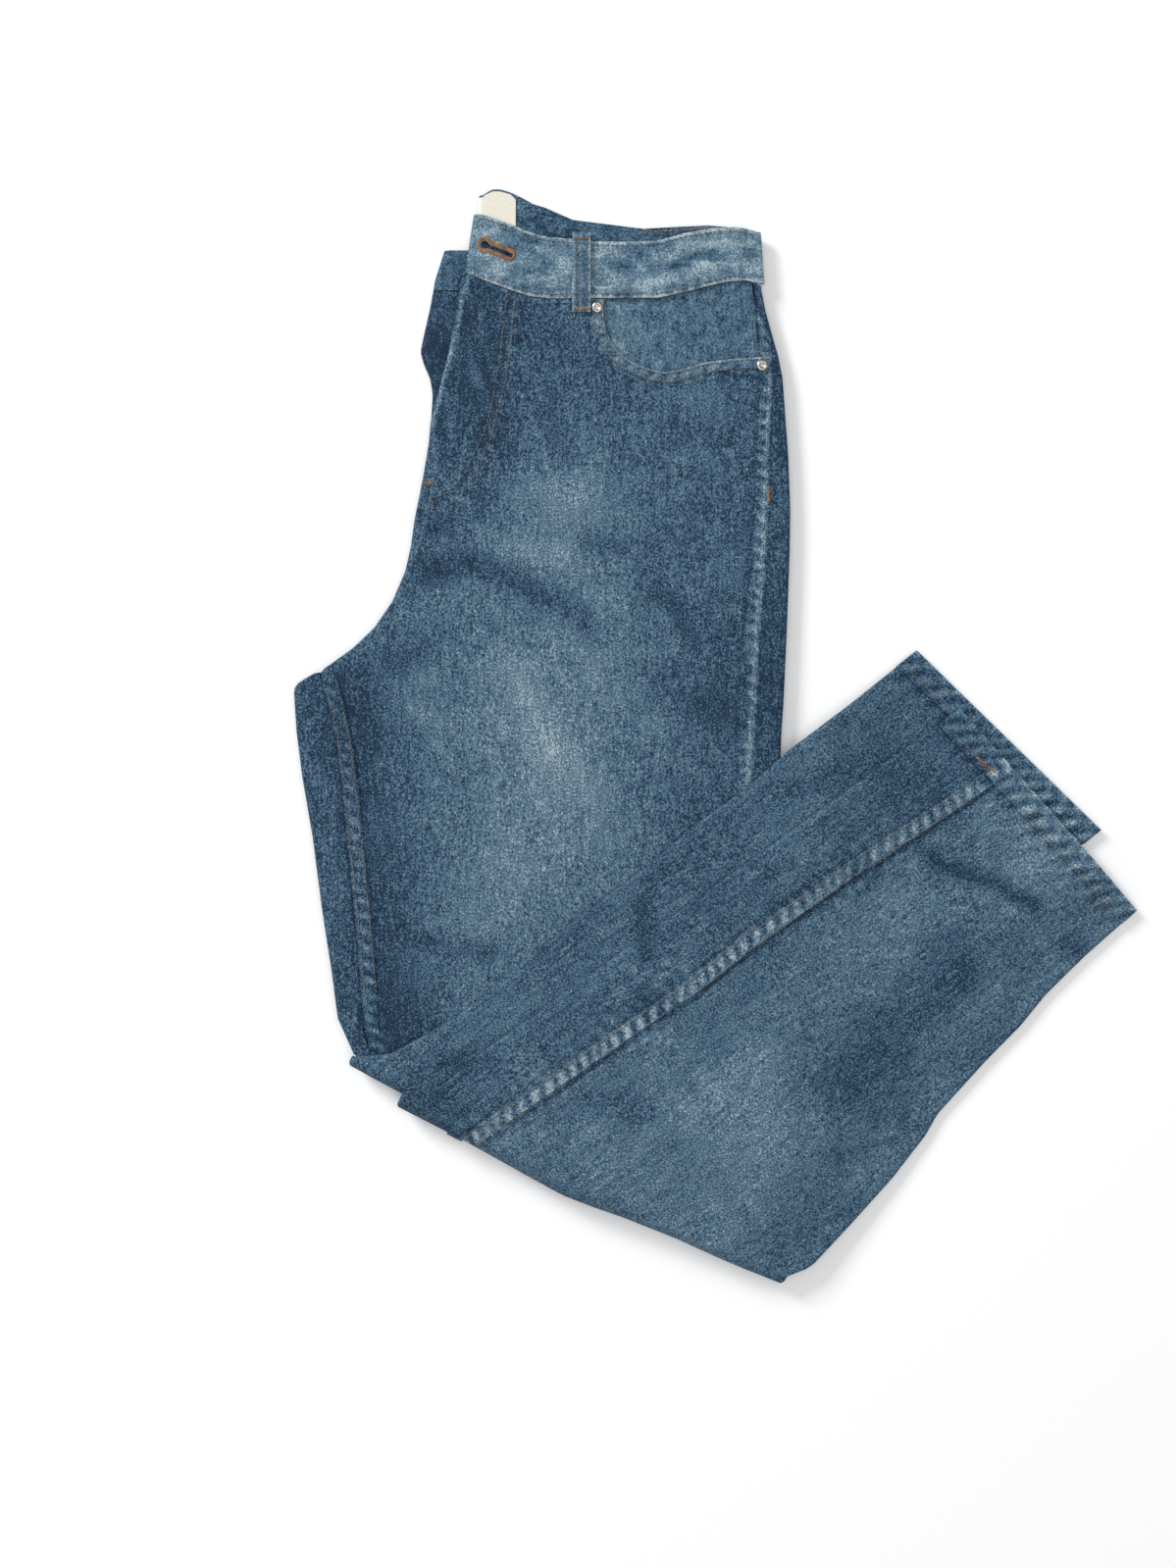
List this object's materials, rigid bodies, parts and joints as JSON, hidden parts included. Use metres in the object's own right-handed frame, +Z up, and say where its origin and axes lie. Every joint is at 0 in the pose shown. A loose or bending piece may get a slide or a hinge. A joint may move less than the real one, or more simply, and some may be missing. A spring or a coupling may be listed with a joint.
{
  "type": "folded mom jeans",
  "caption": "High-waisted blue denim jeans with tapered legs, folded in half and again at the knee, lying flat with the front up.",
  "frame": {"origin": "on the surface that the jeans rest on, under the middle of their bounding box", "axes": "+Y towards the waist, +Z up from the surface, +X towards the folded legs' hems"},
  "size_m": [0.5601, 0.7261, 0.0236],
  "materials": {
    "denim": "stonewashed blue twill, faded along the front of the thigh and shin",
    "denim_dark": "stonewashed blue twill, darker at the sides and along seams",
    "denim_worn": "stonewashed blue twill, pale and mottled where it is stitched double",
    "denim_inside": "blue twill, the waistband's inner face",
    "woven_label": "plain off-white woven satin tape",
    "nickel": "satin nickel-plated rivet cap"
  },
  "bodies": {
    "root": {"left_front": "denim", "left_back": "denim_dark", "left_inseam": "denim_dark", "left_front_lower": "denim", "left_back_lower": "denim_dark", "left_hem": "denim_dark", "right_front_top": "denim_dark", "right_front_lower": "denim", "right_back_lower": "denim_dark", "right_inseam": "denim_dark", "right_hem": "denim_dark", "hidden_layers": "denim_dark", "waistband_front": "denim_worn", "waistband_back": "denim_inside", "waistband_right_end": "denim_dark", "pocket_facing": "denim_worn", "pocket_edge": "denim_worn", "belt_loop": "denim_worn", "woven_label": "woven_label", "rivet_inner": "nickel", "rivet_outer": "nickel"}
  },
  "joints": []
}
